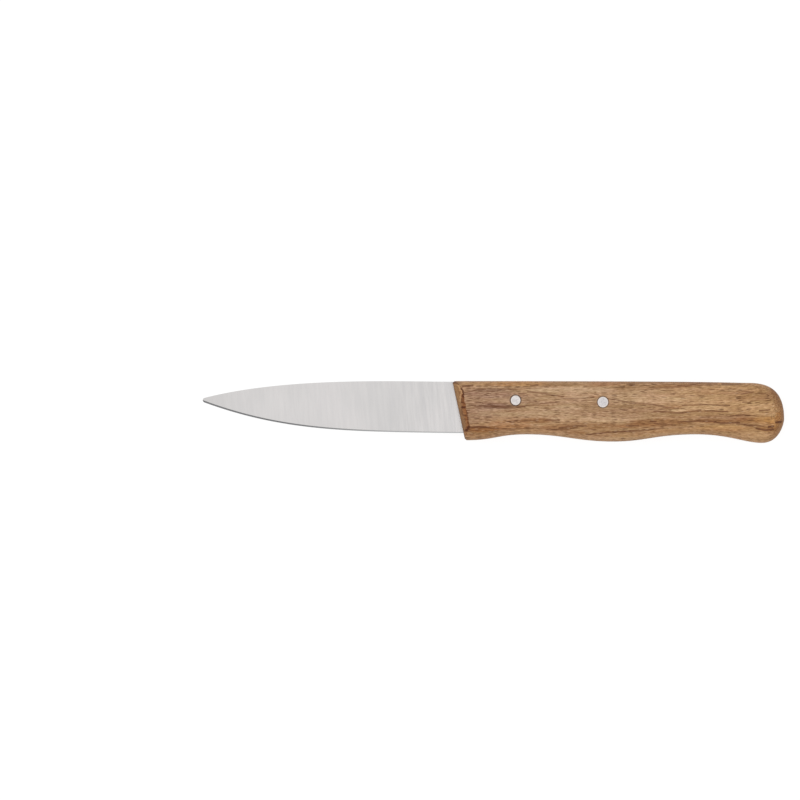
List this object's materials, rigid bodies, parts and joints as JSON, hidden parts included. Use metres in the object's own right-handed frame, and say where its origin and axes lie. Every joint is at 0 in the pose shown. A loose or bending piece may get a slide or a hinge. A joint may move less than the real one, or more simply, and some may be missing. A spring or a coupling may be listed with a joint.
{
  "type": "kitchen knife",
  "caption": "Small straight-bladed kitchen knife with a one-piece wooden handle, a half tang let into a saw slot, and plain metal rivets.",
  "frame": {"origin": "middle of the footprint on the plane of the flat side that the knife lies on", "axes": "+X from the blade's tip to the handle's butt, +Y from the cutting edge to the blade's back, +Z through the thickness, up from the side it lies on"},
  "size_m": [0.1938, 0.0206, 0.013],
  "materials": {
    "blade_steel": "satin, with fine lines ground across the blade and a darker honed bevel along the edge",
    "handle_wood": "sanded open-pored hardwood, lightly oiled",
    "rivet_metal": "peened, then sanded flush with the wood"
  },
  "bodies": {
    "root": {"blade": "blade_steel", "handle": "handle_wood", "front_rivet": "rivet_metal", "rear_rivet": "rivet_metal"}
  },
  "joints": []
}
